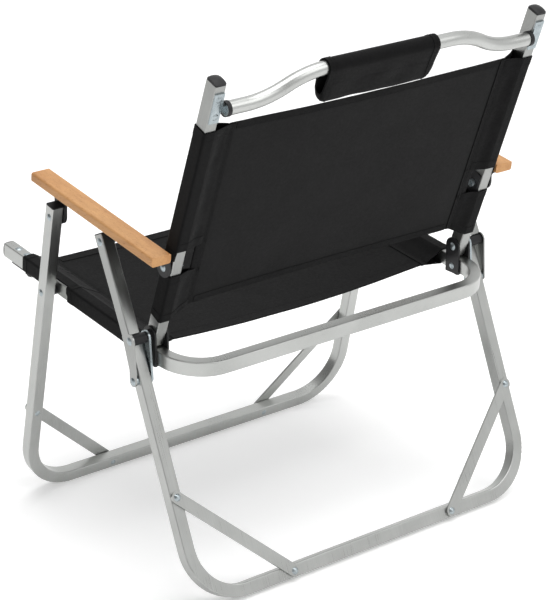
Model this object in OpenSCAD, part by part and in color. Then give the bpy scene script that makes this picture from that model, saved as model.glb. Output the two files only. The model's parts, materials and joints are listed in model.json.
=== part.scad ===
// Folding camp chair: square-tube legs, a seat frame, a folding back and wooden armrests.
// Origin on the floor under the middle of the chair, +Z up, the chair faces -Y.
// Side-view points are [y, z]; every lean is in degrees, positive when the top leans back.

/* [Tubes] */
// Side of the square tube of legs and links
leg_tube = 17; // [15:0.5:18]
// Width of the seat and back tube
rail_w = 16; // [14:0.5:17]
// Depth of the seat and back tube
rail_h = 20; // [18:0.5:21]
// Wall of every aluminium tube
wall = 1.6; // [1.2:0.1:2]
// Outer corner radius of the tubes
corner_r = 1.6; // [1:0.1:2]

/* [Widths from the middle] */
// Seat rails and back uprights
rail_x = 256; // [250:0.5:256]
// Front legs
front_x = 277.5; // [277.5:0.5:279]
// Rear legs
rear_x = 282.5; // [282.5:0.5:284]
// Outer face of the arm links
link_out_x = 297; // [297:0.5:299]
// Armrest wood
wood_x = 284.2; // [283:0.1:286]

/* [Side-view pivots] */
// Back and rear-leg pivot
back_pivot = [98, 336]; // [0:1:400]
// Rear armrest bolt on the upright
arm_rear_pivot = [134, 440]; // [0:1:500]
// Armrest pivot on the front leg
arm_front_pivot = [-96.5, 442.5]; // [-200:0.5:500]
// Front leg pivot on the seat rail
front_pivot = [-124.5, 328]; // [-200:0.5:400]
// Stud at the top of the arm link
link_stud = [37.5, 451]; // [0:0.5:500]
// Rivet that ties the link ears to the rear leg
ear_rivet = [104, 283]; // [0:1:400]

/* [Leans] */
// Front legs
front_lean = 12.9; // [12:0.1:13]
// Rear legs, foot behind the top
rear_lean = -23.27; // [-24:0.01:-22]
// Arm links
link_lean = -25.5; // [-26:0.1:-25]
// Back uprights
back_lean = 20.3; // [19:0.1:21]
// Rise of the seat towards the front
seat_rise = 5.78; // [5:0.01:6]
// Fall of the armrest towards the rear
arm_fall = 7.73; // [7:0.01:8]

/* [Frames] */
// Centre of the seat rail below the back pivot
rail_drop = 25.8; // [25:0.1:27]
// Depth of the rear cross rail of the seat, at its centre
seat_rear_y = 166.5; // [164:0.5:169]
// Seat rail length in front of the rear cross rail
seat_len = 419; // [410:1:425]
// Centre bend radius of the seat frame
seat_bend_r = 55; // [48:1:56]
// Centre bend radius of the leg frames
leg_bend_r = 72; // [65:1:80]
// Upright length above the back pivot
upright_len = 386.5; // [380:0.5:390]
// Upright length below the back pivot
upright_tail = 11; // [9:0.5:11]

/* [Braces] */
// Brace strip width
brace_w = 16; // [12:1:18]
// Brace strip thickness
brace_t = 3; // [2:0.5:3]
// Rivet distance from the middle on the foot rails
brace_foot_x = 136.8; // [130:0.1:145]
// Rivet height on the front legs, along the leg
brace_front_up = 131.8; // [125:0.1:140]
// Rivet height on the rear legs, along the leg
brace_rear_up = 141.4; // [135:0.1:150]

/* [Armrests] */
// Wood length
wood_len = 272; // [265:1:280]
// Wood width
wood_w = 28.6; // [26:0.1:30]
// Wood thickness
wood_t = 13; // [12:0.5:14]
// Front top edge of the wood
wood_front = [-115, 501.7]; // [-200:0.1:510]
// Steel thickness of the armrest brackets
arm_steel = 3; // [2:0.5:3]
// Thickness of the strip under the wood
strip_t = 2; // [1.5:0.5:2]

/* [Carry handle] */
// Handle tube diameter
handle_d = 18; // [16:0.5:20]
// Height of the low handle ends along the upright
handle_at = 353.8; // [350:0.1:358]
// Handle centre behind the upright centre
handle_back = 12; // [11:0.5:13]
// Rise of the middle of the handle
handle_rise = 28; // [24:1:32]
// Width of each S-bend of the handle
handle_run = 115; // [110:1:120]
// Half length of the straight middle
handle_mid = 99; // [96:1:102]
// Wrap length
wrap_len = 175; // [170:1:180]
// Middle of the wrap along the handle
wrap_mid = 15; // [0:1:15]
// How far the wrap hangs below the tube's middle
wrap_hang = 49; // [42:1:50]

/* [Fabric] */
// Fabric thickness in the sleeves
cloth = 1.2; // [0.8:0.1:1.2]
// Thickness of the panels
panel_t = 3; // [2:0.5:4]

/* [Hidden] */
$fn = 48;

silver = [0.78, 0.79, 0.80];
zinc = [0.70, 0.74, 0.78];
steel_black = [0.08, 0.08, 0.08];
plastic_black = [0.12, 0.12, 0.12];
cloth_black = [0.10, 0.10, 0.11];
beech = [0.87, 0.67, 0.45];

fit = 0.05;                 // running clearance of a pin in its hole, on the radius
snug = 0.1;                 // gap between plates and tubes that lie on each other
plate = 2.5;                // steel of the rear brackets
pin_r = 4;                  // pivot pins
rivet_r = 2.5;              // small rivets
foot_flat = 0.4;            // flat pressed along the underside of the foot rails
ear_t = 2;                  // outer link ear
strap_t = 3;                // inner link strap
rail_out = rail_x + rail_w / 2;
rail_in = rail_x - rail_w / 2;
bracket_out = rail_out + snug + plate;
front_in = front_x - leg_tube / 2;
front_out = front_x + leg_tube / 2;
rear_in = rear_x - leg_tube / 2;
rear_out = rear_x + leg_tube / 2;
strap_x = rear_in - 1 - strap_t;
link_x = link_out_x - leg_tube / 2;
sleeve_r = 7.2;

function corner_low(lean) =
    (leg_tube / 2 - corner_r) * (cos(lean) + abs(sin(lean))) + corner_r - foot_flat;
front_foot_z = corner_low(front_lean);
rear_foot_z = corner_low(rear_lean);
front_foot = [front_pivot[0] - (front_pivot[1] - front_foot_z) * tan(front_lean), front_foot_z];
rear_foot = [ear_rivet[0] - (ear_rivet[1] - rear_foot_z) * tan(rear_lean), rear_foot_z];
front_leg_len = (arm_front_pivot[1] - front_foot_z) / cos(front_lean) + 15;
rear_leg_len = (ear_rivet[1] - rear_foot_z) / cos(rear_lean) + 45.5;
seat_lean = seat_rise - 90;
seat_rear = [seat_rear_y,
             back_pivot[1] - rail_drop - (seat_rear_y - back_pivot[0]) * tan(seat_rise)];
link_top = 9.5;

function up(lean) = [sin(lean), cos(lean)];
function back(lean) = [cos(lean), -sin(lean)];
// Distance of a side-view point along and behind a leaning line through an origin point
function along(p, o, lean) = (p - o) * up(lean);
function behind(p, o, lean) = (p - o) * back(lean);

// ---------- helpers ----------

// A leaning frame: local +Z runs along the lean, local +Y points back
module at(p, lean = 0) translate([0, p[0], p[1]]) rotate([-lean, 0, 0]) children();
module both() for (s = [0, 1]) mirror([s, 0, 0]) children();
// A flat shape drawn in side view, standing from x0 outwards
module side_plate(x0, t) translate([x0, 0, 0]) rotate([90, 0, 90]) linear_extrude(t) children();
module across(p, x0, x1, r) translate([x0, p[0], p[1]]) rotate([0, 90, 0]) cylinder(x1 - x0, r = r);

module rounded_rect(w, h, r) {
    square([w - 2 * r, h], center = true);
    square([w, h - 2 * r], center = true);
    for (x = [-1, 1], y = [-1, 1])
        translate([x * (w / 2 - r), y * (h / 2 - r)]) circle(r, $fn = 24);
}
module tube_section(w, h) difference() {
    rounded_rect(w, h, corner_r);
    square([w - 2 * wall, h - 2 * wall], center = true);
}
module box_tube(from, to, w, h) translate([0, 0, from]) linear_extrude(to - from) tube_section(w, h);
module box_core(from, to, w, h) translate([0, 0, from]) linear_extrude(to - from)
    square([w, h], center = true);

// U-shaped frame: cross rail on the X axis, legs along +Z
module u_frame(half, leg_len, bend_r, w, h) {
    translate([bend_r - half, 0, 0]) rotate([90, 0, 90])
        linear_extrude(2 * (half - bend_r)) rotate(90) tube_section(w, h);
    both() {
        translate([half, 0, 0]) box_tube(bend_r, leg_len, w, h);
        translate([half - bend_r, 0, bend_r]) rotate([90, 0, 0]) rotate(-90)
            rotate_extrude(angle = 90) translate([bend_r, 0]) tube_section(w, h);
    }
}
// Low rivet head, flat side on z = 0
module dome(r, h) {
    ball = (r * r + h * h) / (2 * h);
    intersection() {
        translate([0, 0, h - ball]) sphere(ball);
        cylinder(h, r = r);
    }
}
// What lies below the floor, cut off the foot rails to leave a narrow flat
module below_floor() translate([-400, -400, -20]) cube([800, 800, 20]);
// Headed pin along X: shank from x0 to x1, heads beyond both ends
module x_pin(p, x0, x1, r, head_r, head_h) {
    across(p, x0 - 0.2, x1 + 0.2, r);
    translate([x1, p[0], p[1]]) rotate([0, 90, 0]) dome(head_r, head_h);
    translate([x0, p[0], p[1]]) rotate([0, -90, 0]) dome(head_r, head_h);
}
// Headed rivet along local Y: shank from y0 to y1
module y_rivet(y0, y1, r, head_r, head_h) {
    translate([0, y0, 0]) rotate([-90, 0, 0]) cylinder(y1 - y0, r = r);
    translate([0, y1, 0]) rotate([-90, 0, 0]) dome(head_r, head_h);
    translate([0, y0, 0]) rotate([90, 0, 0]) dome(head_r * 0.8, head_h * 0.6);
}
// Domed end cap on a tube end at z = 0, with a plug that goes into the tube
module end_cap(w, h, rim, rise) {
    ball = 26;
    intersection() {
        linear_extrude(rim + rise) rounded_rect(w, h, 2.4);
        translate([0, 0, rim + rise - ball]) sphere(ball);
    }
    box_core(-12, 0.1, w - 2 * wall - 0.4, h - 2 * wall - 0.4);
}
// Thin plug in a leg end: a lid on the tube and a core inside it
module leg_plug() {
    linear_extrude(1.6) rounded_rect(leg_tube, leg_tube, corner_r);
    box_core(-9, 0.1, leg_tube - 2 * wall - 0.4, leg_tube - 2 * wall - 0.4);
}

// ---------- seat: root body ----------

module seat_place() at(seat_rear, seat_lean) children();
crossbar_at = seat_len - 35;
crossbar_r = 8;
crossbar_drop = rail_h / 2 + 14;
crossbar_rivet_ts = [-10.5, 10.5];
module crossbar_rivet_places() both() for (t = crossbar_rivet_ts)
    translate([rail_x, 0, crossbar_at + t]) children();

module seat_frame_tube() color(silver) difference() {
    seat_place() u_frame(rail_x, seat_len, seat_bend_r, rail_w, rail_h);
    both() {
        across(front_pivot, rail_in - 1, rail_out + 1, pin_r + fit);
        across(rail_rivet, rail_in - 1, rail_out + 1, rivet_r + fit);
    }
    seat_place() crossbar_rivet_places()
        translate([0, -rail_h, 0]) rotate([-90, 0, 0]) cylinder(2 * rail_h, r = rivet_r + fit);
}
module seat_end_caps() color(plastic_black) seat_place() both()
    translate([rail_x, 0, seat_len + 0.05]) end_cap(rail_w, rail_h, 1.2, 2.4);

module front_crossbar() color(silver) seat_place()
    translate([0, -crossbar_drop, crossbar_at]) rotate([0, 90, 0]) difference() {
        cylinder(2 * (rail_x - 12), r = crossbar_r, center = true);
        cylinder(2 * rail_x, r = crossbar_r - wall, center = true);
    }
module crossbar_brackets() color(zinc) seat_place() both() difference() {
    union() {
        translate([rail_x - 7, -rail_h / 2 - 2.1, crossbar_at - 16.5]) cube([14, 2, 33]);
        translate([rail_x - 10, -rail_h / 2 - 18, crossbar_at - 6]) cube([2, 17.5, 12]);
        translate([rail_x - 10, -rail_h / 2 - 2.1, crossbar_at - 6]) cube([5, 2, 12]);
        translate([rail_x - 20, -crossbar_drop, crossbar_at]) rotate([0, 90, 0])
            cylinder(11, r = crossbar_r - wall - 0.3);
    }
    for (t = crossbar_rivet_ts) translate([rail_x, -rail_h, crossbar_at + t])
        rotate([-90, 0, 0]) cylinder(rail_h, r = rivet_r + fit);
}
module crossbar_rivets() color(zinc) seat_place() crossbar_rivet_places()
    y_rivet(-rail_h / 2 - 2.1, rail_h / 2, rivet_r, 5, 1.6);

// Side plates of the rear bracket: round over the pivot, square below the rail
bracket_half = 13;
rail_rivet = back_pivot - [0.5, 29];
bracket_low = rail_drop + rail_h / 2 + 3;
module bracket_outline() translate(back_pivot) {
    circle(bracket_half);
    translate([-bracket_half, -bracket_low]) square([2 * bracket_half, bracket_low]);
}
module rear_bracket(s) mirror([s, 0, 0]) color(steel_black) difference() {
    union() {
        side_plate(rail_out + snug, plate) bracket_outline();
        side_plate(rail_in - snug - plate, plate) bracket_outline();
        at(back_pivot - [0, rail_drop], seat_lean)
            translate([rail_in - snug - plate, -rail_h / 2 - snug - plate, -bracket_half + 1])
                cube([rail_w + 2 * (snug + plate), plate, 2 * bracket_half - 2]);
    }
    across(back_pivot, rail_in - 9, rail_out + 9, pin_r + fit);
    across(rail_rivet, rail_in - 9, rail_out + 9, rivet_r + fit);
}
module rear_bracket_left() rear_bracket(0);
module rear_bracket_right() rear_bracket(1);
module bracket_rivets() color(zinc) both()
    x_pin(rail_rivet, rail_in - snug - plate, bracket_out, rivet_r, 4.5, 0.9);
module pivot_pins() color(zinc) both()
    x_pin(back_pivot, rail_in - snug - plate, link_out_x + 0.05, pin_r, 5.5, 1.8);
module ring(p, x0, x1, r, hole_r) difference() {
    across(p, x0, x1, r);
    across(p, x0 - 1, x1 + 1, hole_r);
}
module pivot_spacers() color(plastic_black) both()
    ring(back_pivot, bracket_out + 0.05, strap_x - 0.1, 8.5, pin_r + fit);
module leg_spacers() color(plastic_black) both()
    ring(front_pivot, rail_out + 0.05, front_in - 0.1, 7, pin_r + fit);
module front_pivot_pins() color(zinc) both()
    x_pin(front_pivot, rail_in, front_out + 0.05, pin_r, 5, 1.6);

// Seat cloth: two sleeves on each rail, with a gap at the leg pivot, and the slung panel
seat_sleeves = [[95, 263], [316, seat_len - 52]];
module sleeve(from, to) translate([0, 0, from]) linear_extrude(to - from) difference() {
    square([rail_w + 2 * (cloth + 0.1), rail_h + 2 * (cloth + 0.1)], center = true);
    square([rail_w + 0.2, rail_h + 0.2], center = true);
}
module seat_fabric() color(cloth_black) difference() {
    seat_place() {
        both() for (s = seat_sleeves) translate([rail_x, 0, 0]) sleeve(s[0], s[1]);
        translate([0.1 - rail_in, -panel_t, seat_sleeves[0][0]])
            cube([2 * rail_in - 0.2, panel_t, seat_sleeves[1][1] - seat_sleeves[0][0]]);
    }
    both() across(front_pivot, rail_in - 6, rail_in, 12);
}

// ---------- back body ----------

module back_place() at(back_pivot, back_lean) children();
arm_bolt_up = along(arm_rear_pivot, back_pivot, back_lean);
handle_rivet_ups = [-10, 15];
module upright(s) mirror([s, 0, 0]) color(silver) difference() {
    back_place() translate([rail_x, 0, 0]) box_tube(-upright_tail, upright_len, rail_w, rail_h);
    across(back_pivot, rail_in - 1, rail_out + 1, pin_r + fit);
    across(arm_rear_pivot, rail_in - 1, rail_out + 1, 3 + fit);
    back_place() for (t = handle_rivet_ups) translate([rail_x, 0, handle_at + t])
        rotate([-90, 0, 0]) cylinder(rail_h, r = rivet_r + fit);
}
module upright_left() upright(0);
module upright_right() upright(1);
module upright_caps() color(plastic_black) back_place() both()
    translate([rail_x, 0, upright_len + 0.05]) end_cap(rail_w, rail_h, 2.4, 2.6);

// Handle: straight ends, an S-bend each side and a raised straight middle
bend_a = 2 * atan(handle_rise / handle_run);
bend_r = handle_run / (2 * sin(bend_a));
handle_low = handle_mid + handle_run;
handle_end = rail_in - 3;
module handle_ring2d() difference() {
    circle(d = handle_d);
    circle(d = handle_d - 2 * wall);
}
module handle_arc(a) rotate_extrude(angle = a) translate([bend_r, 0]) handle_ring2d();
module handle_tube() color(silver) back_place() translate([0, handle_back, handle_at]) {
    translate([-handle_mid, 0, handle_rise]) rotate([0, 90, 0])
        linear_extrude(2 * handle_mid) handle_ring2d();
    both() {
        translate([handle_low, 0, 0]) rotate([0, 90, 0])
            linear_extrude(handle_end - handle_low) handle_ring2d();
        translate([handle_low, 0, bend_r]) rotate([90, 0, 0])
            rotate(-90 - bend_a) handle_arc(bend_a);
        translate([handle_mid, 0, handle_rise - bend_r]) rotate([90, 0, 0])
            rotate(90 - bend_a) handle_arc(bend_a);
    }
}
module handle_rings() color(plastic_black) back_place() both()
    translate([handle_end - 5, handle_back, handle_at]) rotate([0, 90, 0]) difference() {
        cylinder(5.6, r = handle_d / 2 + 0.9);
        cylinder(12, r = handle_d / 2 + 0.05, center = true);
    }
module handle_brackets() color(zinc) back_place() both() difference() {
    union() {
        translate([rail_x - 7, rail_h / 2 + 0.05, handle_at - 19]) cube([14, 2, 42]);
        translate([rail_in - 12, handle_back - 1, handle_at - 4.5]) cube([15, 2.2, 9]);
        translate([rail_in - 15, handle_back, handle_at]) rotate([0, 90, 0])
            cylinder(12, r = handle_d / 2 - wall - 0.2);
    }
    for (t = handle_rivet_ups) translate([rail_x, 0, handle_at + t])
        rotate([-90, 0, 0]) cylinder(rail_h, r = rivet_r + fit);
}
module handle_rivets() color(zinc) back_place() both() for (t = handle_rivet_ups)
    translate([rail_x, 0, handle_at + t])
        y_rivet(rail_h / 2 - wall, rail_h / 2 + 2.05, rivet_r, 4.6, 1.8);

// Back cloth: sleeves with a gap at the armrest bolt, and the panel between the uprights
back_sleeves = [[34, 94], [142, 321]];
module back_fabric() color(cloth_black) difference() {
    back_place() {
        both() for (s = back_sleeves) translate([rail_x, 0, 0]) sleeve(s[0], s[1]);
        translate([0.1 - rail_in, 2, back_sleeves[0][0]])
            cube([2 * rail_in - 0.2, panel_t, back_sleeves[1][1] - back_sleeves[0][0]]);
    }
    both() across(arm_rear_pivot, rail_in - 10, rail_in, 20);
}
module handle_wrap() color(cloth_black) back_place()
    translate([wrap_mid - wrap_len / 2, handle_back, handle_at + handle_rise]) rotate([0, 90, 0])
        linear_extrude(wrap_len) difference() {
            union() {
                circle(12);
                polygon([[0, -12], [0, 12], [wrap_hang, 7], [wrap_hang, -7]]);
            }
            circle(d = handle_d + 0.2);
        }

backing_t = 2;
module arm_backing_plates() color(steel_black) both() difference() {
    at(arm_rear_pivot, back_lean) side_plate(rail_in - snug - backing_t, backing_t)
        rounded_rect(20, 34, 5);
    across(arm_rear_pivot, rail_in - 9, rail_out, 3 + fit);
}
rear_plate_x = rail_out + cloth + 0.4;
bolt_x1 = rear_plate_x + arm_steel + 0.1;
bolt_x0 = rail_in - snug - backing_t;
module arm_washers() color(plastic_black) both()
    ring(arm_rear_pivot, rail_out + 0.05, rear_plate_x - 0.05, 8, 3 + fit);
module arm_bolts() color(zinc) both() {
    across(arm_rear_pivot, bolt_x0 - 5.5, bolt_x1 + 0.1, 3);
    translate([bolt_x1, arm_rear_pivot[0], arm_rear_pivot[1]]) rotate([0, 90, 0]) dome(5.5, 2.4);
}
module arm_nuts() color(zinc) both() difference() {
    translate([bolt_x0 - 4.6, arm_rear_pivot[0], arm_rear_pivot[1]]) rotate([0, 90, 0])
        cylinder(4.5, r = 5.8, $fn = 6);
    across(arm_rear_pivot, bolt_x0 - 9, bolt_x0, 3 + fit);
}

// ---------- front legs ----------

module front_place() at(front_foot, front_lean) children();
module front_leg_frame() color(silver) difference() {
    front_place() u_frame(front_x, front_leg_len, leg_bend_r, leg_tube, leg_tube);
    both() {
        across(front_pivot, front_in - 1, front_out + 1, pin_r + fit);
        across(arm_front_pivot, front_in - 1, front_out + 1, 3 + fit);
    }
    front_place() brace_rivet_places(brace_front_up, front_x)
        translate([0, -leg_tube, 0]) rotate([-90, 0, 0]) cylinder(2 * leg_tube, r = rivet_r + fit);
    below_floor();
}
module front_leg_plugs() color(plastic_black) front_place() both()
    translate([front_x, 0, front_leg_len + 0.05]) leg_plug();

module brace_rivet_places(up_len, leg_x) both() {
    translate([brace_foot_x, 0, 0]) children();
    translate([leg_x, 0, up_len]) children();
}
// Flat strip with round ends between the foot rail and the leg, on the local XZ plane
module brace_strip(up_len, leg_x) {
    run = leg_x - brace_foot_x;
    a = atan2(up_len, run);
    difference() {
        translate([brace_foot_x, 0, 0]) rotate([90, -a, 0]) linear_extrude(brace_t) {
            translate([0, -brace_w / 2]) square([norm([run, up_len]), brace_w]);
            circle(d = brace_w);
            translate([norm([run, up_len]), 0]) circle(d = brace_w);
        }
        for (p = [[brace_foot_x, 0], [leg_x, up_len]]) translate([p[0], 0, p[1]])
            rotate([90, 0, 0]) cylinder(4 * brace_t, r = rivet_r + fit, center = true);
    }
}
brace_gap = leg_tube / 2 + 0.05;
module front_braces() color(silver) front_place() both()
    translate([0, -brace_gap, 0]) brace_strip(brace_front_up, front_x);
module front_brace_rivets() color(zinc) front_place() brace_rivet_places(brace_front_up, front_x)
    mirror([0, 1, 0]) y_rivet(-leg_tube / 2, brace_gap + brace_t, rivet_r, 5, 2.6);
// Rivets that carry the armrest plates, loose in the plates' wide holes
module arm_front_rivets() color(zinc) both() {
    across(arm_front_pivot, front_plate_x - 0.3, front_out + 0.2, 3);
    across(arm_front_pivot, front_plate_x - 1.15, front_plate_x - 0.15, 7.5);
    translate([front_out + 0.05, arm_front_pivot[0], arm_front_pivot[1]])
        rotate([0, 90, 0]) dome(5, 1.8);
}

// ---------- rear legs and links: one body ----------

module rear_place() at(rear_foot, rear_lean) children();
module rear_leg_frame() color(silver) difference() {
    rear_place() u_frame(rear_x, rear_leg_len, leg_bend_r, leg_tube, leg_tube);
    both() across(ear_rivet, rear_in - 1, rear_out + 1, 3 + fit);
    rear_place() brace_rivet_places(brace_rear_up, rear_x)
        translate([0, -leg_tube, 0]) rotate([-90, 0, 0]) cylinder(2 * leg_tube, r = rivet_r + fit);
    below_floor();
}
module rear_leg_plugs() color(plastic_black) rear_place() both()
    translate([rear_x, 0, rear_leg_len + 0.05]) box_core(-9, -0.5,
        leg_tube - 2 * wall - 0.4, leg_tube - 2 * wall - 0.4);
module rear_braces() color(silver) rear_place() both()
    translate([0, brace_gap + brace_t, 0]) brace_strip(brace_rear_up, rear_x);
module rear_brace_rivets() color(zinc) rear_place() brace_rivet_places(brace_rear_up, rear_x)
    y_rivet(-leg_tube / 2, brace_gap + brace_t, rivet_r, 5, 2.6);

// Link: a tube whose outer wall runs on as an ear, round the pivot and down to the ear rivet
link_gap = behind(back_pivot, link_stud, link_lean);
link_low = -along(link_stud, back_pivot, link_lean) + 8;
lobe_r = 10;
ear_r = 7;
module ear_outline() {
    front = (leg_tube / 2 + link_gap) * back(link_lean);
    rear = (leg_tube / 2 - link_gap) * back(link_lean);
    difference() {
        union() {
            polygon([
                back_pivot + 14 * up(link_lean) - front,
                back_pivot - front,
                ear_rivet + [-ear_r, 14],
                ear_rivet + [-ear_r, 0],
                ear_rivet + [ear_r, 0],
                back_pivot + [lobe_r, -2],
                back_pivot + [lobe_r, 0],
                back_pivot + 14 * up(link_lean) + rear,
            ]);
            translate(back_pivot) circle(lobe_r);
            translate(ear_rivet) circle(ear_r);
        }
        translate(back_pivot) circle(pin_r + fit);
        translate(ear_rivet) circle(3 + fit);
    }
}
module arm_link(s) mirror([s, 0, 0]) color(silver) {
    difference() {
        at(link_stud, link_lean) translate([link_x, 0, 0])
            box_tube(link_low, link_top, leg_tube, leg_tube);
        across(link_stud, link_x - leg_tube, link_x + leg_tube, 3.5 + fit);
    }
    intersection() {
        side_plate(link_out_x - ear_t, ear_t) ear_outline();
        at(link_stud, link_lean)
            translate([link_x - 20, -100, -400]) cube([40, 200, 400 + link_low + 1]);
    }
}
module arm_link_left() arm_link(0);
module arm_link_right() arm_link(1);
module link_plugs() color(plastic_black) at(link_stud, link_lean) both()
    translate([link_x, 0, link_top + 0.05]) {
        linear_extrude(1.4) rounded_rect(leg_tube, leg_tube, corner_r);
        box_core(-4, 0.1, leg_tube - 2 * wall - 0.4, leg_tube - 2 * wall - 0.4);
    }
module link_straps() color(silver) both() side_plate(strap_x, strap_t) difference() {
    union() {
        polygon([back_pivot + [-9, 0], ear_rivet + [-ear_r, 0], ear_rivet + [ear_r, 0],
                 back_pivot + [9, 0]]);
        translate(back_pivot) circle(9);
        translate(ear_rivet) circle(ear_r);
    }
    translate(back_pivot) circle(pin_r + fit);
    translate(ear_rivet) circle(3 + fit);
}
module pivot_sleeves() color(plastic_black) both()
    ring(back_pivot, strap_x + strap_t, link_out_x - ear_t, sleeve_r, pin_r + fit);
module ear_washers() color(plastic_black) both() {
    ring(ear_rivet, strap_x + strap_t, rear_in, 6, 3 + fit);
    ring(ear_rivet, rear_out, link_out_x - ear_t, 6, 3 + fit);
}
module ear_rivets() color(zinc) both()
    x_pin(ear_rivet, strap_x, link_out_x, 3, 5.5, 2);
stud_in = link_x - leg_tube / 2 - arm_steel - 1;
module link_studs() color(zinc) both()
    x_pin(link_stud, stud_in, link_out_x, 3.5, 5.5, 1.8);

// ---------- armrests ----------

module arm_place() at(wood_front, arm_fall - 90) mirror([0, 0, 1]) children();
screw_places = [30, 136, 226];
module arm_wood(s) mirror([s, 0, 0]) color(beech) arm_place() difference() {
    translate([wood_x, -wood_t / 2, 0]) linear_extrude(wood_len) rounded_rect(wood_w, wood_t, 3);
    for (t = screw_places) translate([wood_x, -wood_t - 1, t])
        rotate([-90, 0, 0]) cylinder(9, r = 1.75 + fit);
}
module arm_wood_left() arm_wood(0);
module arm_wood_right() arm_wood(1);
front_plate_x = front_in - 0.35 - arm_steel;
mid_plate_x = link_x - leg_tube / 2 - 0.5 - arm_steel;
strip_low = wood_t + strip_t + 0.05;
// Point on the strip's mid-plane at a given y
function on_strip(y) = [y, wood_front[1] - (y - wood_front[0]) * tan(arm_fall)
                           - (wood_t + strip_t / 2) / cos(arm_fall)];
module arm_bracket(s) mirror([s, 0, 0]) color(steel_black) difference() {
    union() {
        arm_place() translate([rear_plate_x, -strip_low, 4])
            cube([wood_x + 9 - rear_plate_x, strip_t, wood_len - 10]);
        side_plate(front_plate_x, arm_steel) {
            translate(arm_front_pivot) circle(12);
            polygon([arm_front_pivot + [-12, 0], arm_front_pivot + [12, 0],
                     on_strip(arm_front_pivot[0] + 14), on_strip(arm_front_pivot[0] - 14)]);
        }
        side_plate(mid_plate_x, arm_steel)
            polygon([on_strip(link_stud[0] - 20), link_stud + [-14, -7], link_stud + [-4, -10],
                     link_stud + [-1, -3.7], link_stud + [1, 3.7], link_stud + [10, 4.5],
                     on_strip(link_stud[0] + 12)]);
        side_plate(rear_plate_x, arm_steel) {
            translate(arm_rear_pivot) circle(13);
            polygon([arm_rear_pivot + [-13, 0], arm_rear_pivot + [13, 0],
                     on_strip(arm_rear_pivot[0] + 13), on_strip(arm_rear_pivot[0] - 32)]);
        }
    }
    across(arm_front_pivot, front_in - 9, front_in, 5.4);
    across(arm_rear_pivot, rail_in, rail_out + 9, 3 + fit);
    across(link_stud, mid_plate_x - 1, link_x, 3.7);
    arm_place() for (t = screw_places) translate([wood_x, -wood_t - 9, t])
        rotate([-90, 0, 0]) cylinder(9, r = 1.75 + fit);
}
module arm_bracket_left() arm_bracket(0);
module arm_bracket_right() arm_bracket(1);
module arm_screws(s) mirror([s, 0, 0]) color(zinc) arm_place() for (t = screw_places)
    translate([wood_x, -strip_low, t]) {
        rotate([-90, 0, 0]) cylinder(8, r = 1.75);
        rotate([90, 0, 0]) dome(3.6, 1.8);
    }
module arm_screws_left() arm_screws(0);
module arm_screws_right() arm_screws(1);

seat_frame_tube();
seat_end_caps();
front_crossbar();
crossbar_brackets();
crossbar_rivets();
rear_bracket_left();
rear_bracket_right();
bracket_rivets();
pivot_pins();
pivot_spacers();
leg_spacers();
front_pivot_pins();
seat_fabric();
upright_left();
upright_right();
upright_caps();
handle_tube();
handle_rings();
handle_brackets();
handle_rivets();
back_fabric();
handle_wrap();
arm_backing_plates();
arm_washers();
arm_bolts();
arm_nuts();
front_leg_frame();
front_leg_plugs();
front_braces();
front_brace_rivets();
arm_front_rivets();
rear_leg_frame();
rear_leg_plugs();
rear_braces();
rear_brace_rivets();
arm_link_left();
arm_link_right();
link_plugs();
link_straps();
pivot_sleeves();
ear_washers();
ear_rivets();
link_studs();
arm_wood_left();
arm_bracket_left();
arm_screws_left();
arm_wood_right();
arm_bracket_right();
arm_screws_right();
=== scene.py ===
"""Folding camp chair: finishes, sewn cloth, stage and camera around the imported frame."""

import json
import math

import bmesh
import bpy
from bpy.props import FloatProperty, FloatVectorProperty, PointerProperty
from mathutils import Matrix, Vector, noise


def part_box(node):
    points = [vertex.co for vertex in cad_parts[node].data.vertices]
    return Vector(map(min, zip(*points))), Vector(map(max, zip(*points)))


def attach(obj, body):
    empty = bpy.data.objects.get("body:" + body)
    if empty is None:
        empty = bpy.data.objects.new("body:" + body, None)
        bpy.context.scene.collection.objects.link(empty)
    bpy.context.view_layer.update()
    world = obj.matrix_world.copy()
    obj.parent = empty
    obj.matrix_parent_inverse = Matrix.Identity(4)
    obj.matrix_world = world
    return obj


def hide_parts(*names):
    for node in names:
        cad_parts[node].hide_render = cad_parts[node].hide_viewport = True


bl_info = {
    "name": "Folding camp chair",
    "version": (1, 0, 0),
    "blender": (4, 5, 0),
    "location": "View3D > Sidebar > Chair",
    "description": "Finishes, sewn cloth, stage and camera for the folding camp chair",
    "category": "Object",
}

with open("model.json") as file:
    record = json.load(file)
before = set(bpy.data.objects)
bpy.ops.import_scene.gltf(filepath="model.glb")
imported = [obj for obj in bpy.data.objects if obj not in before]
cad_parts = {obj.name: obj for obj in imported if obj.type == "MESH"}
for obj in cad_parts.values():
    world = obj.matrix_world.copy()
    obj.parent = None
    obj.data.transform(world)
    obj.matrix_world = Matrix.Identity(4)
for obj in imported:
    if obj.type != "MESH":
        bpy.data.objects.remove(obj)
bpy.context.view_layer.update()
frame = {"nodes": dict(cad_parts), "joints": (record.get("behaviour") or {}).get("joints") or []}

# Where the back turns and how it leans; where the seat's rear tube lies and how the seat rises.
BACK_PIVOT = next(j["pos_m"] for j in frame["joints"] if j["name"] == "back_fold")[1:]
BACK_LEAN = math.radians(20.3)
SEAT_REAR = (0.1665, 0.30327)
SEAT_RISE = math.radians(5.78)
ARM_SLOPE = math.radians(-7.73)
# Each kind of tube: its lean in degrees, along which the drawn lines run, and its shade.
# The shade is painted light: a factor on the tube's colour that paints shade on the rear legs, links and
# uprights, and a painted highlight on the handle.
TUBES = {
    "front": (12.9, 1.0),
    "rear": (-23.27, 0.96),
    "link": (-25.5, 0.74),
    "upright": (20.3, 0.74),
    "handle": (90.0, 1.05),
    "seat": (84.22, 1.0),
}
# The uprights and the seat's side rails have the same section and stand equally far apart.
RAIL_IN, RAIL_OUT = (corner.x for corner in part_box("upright_left"))
RAIL_HALF = 0.010
RAIL_CORNER = 0.0016
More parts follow.
